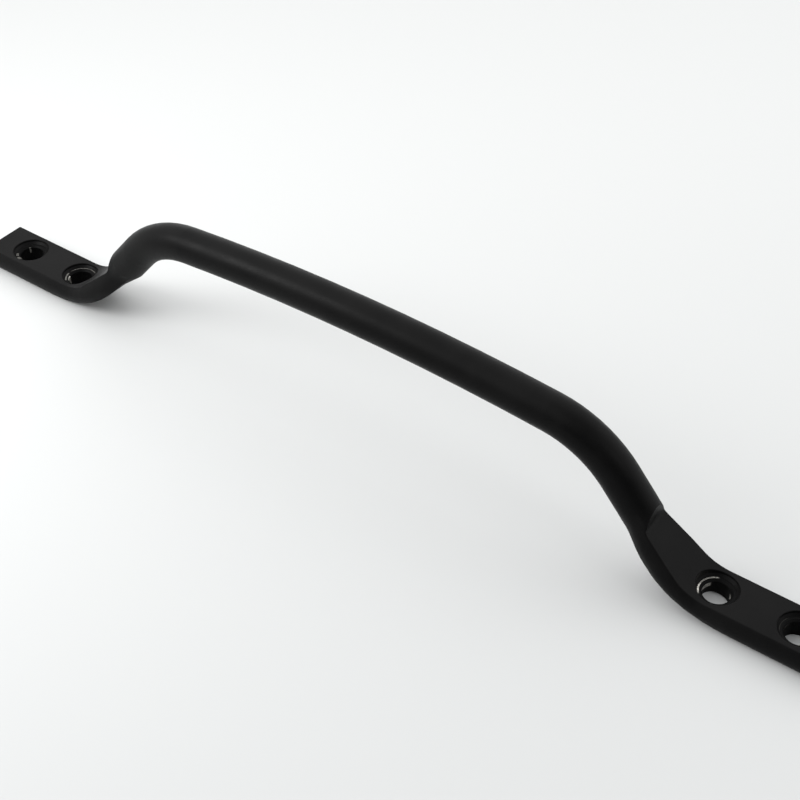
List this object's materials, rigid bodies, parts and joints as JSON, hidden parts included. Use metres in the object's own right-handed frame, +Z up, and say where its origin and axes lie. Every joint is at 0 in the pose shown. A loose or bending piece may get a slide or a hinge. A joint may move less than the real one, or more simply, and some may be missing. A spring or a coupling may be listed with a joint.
{
  "type": "bed assist rail",
  "caption": "Bent round-bar grab rail with a gently bowed grip and forged flat feet, each with recessed bolt holes, dipped in a thick matte black coat.",
  "frame": {"origin": "midway between the feet, on the plane that both soles rest on", "axes": "+X along the grip towards one foot, +Y across it, +Z up from the soles to the grip"},
  "size_m": [0.4354, 0.0244, 0.0702],
  "materials": {
    "bare_steel": "machined, bare only inside the bolt holes",
    "black_coat": "matte black dipped coat, smooth with a soft sheen"
  },
  "bodies": {
    "root": {"steel_bar": "bare_steel", "black_coat": "black_coat"}
  },
  "joints": []
}
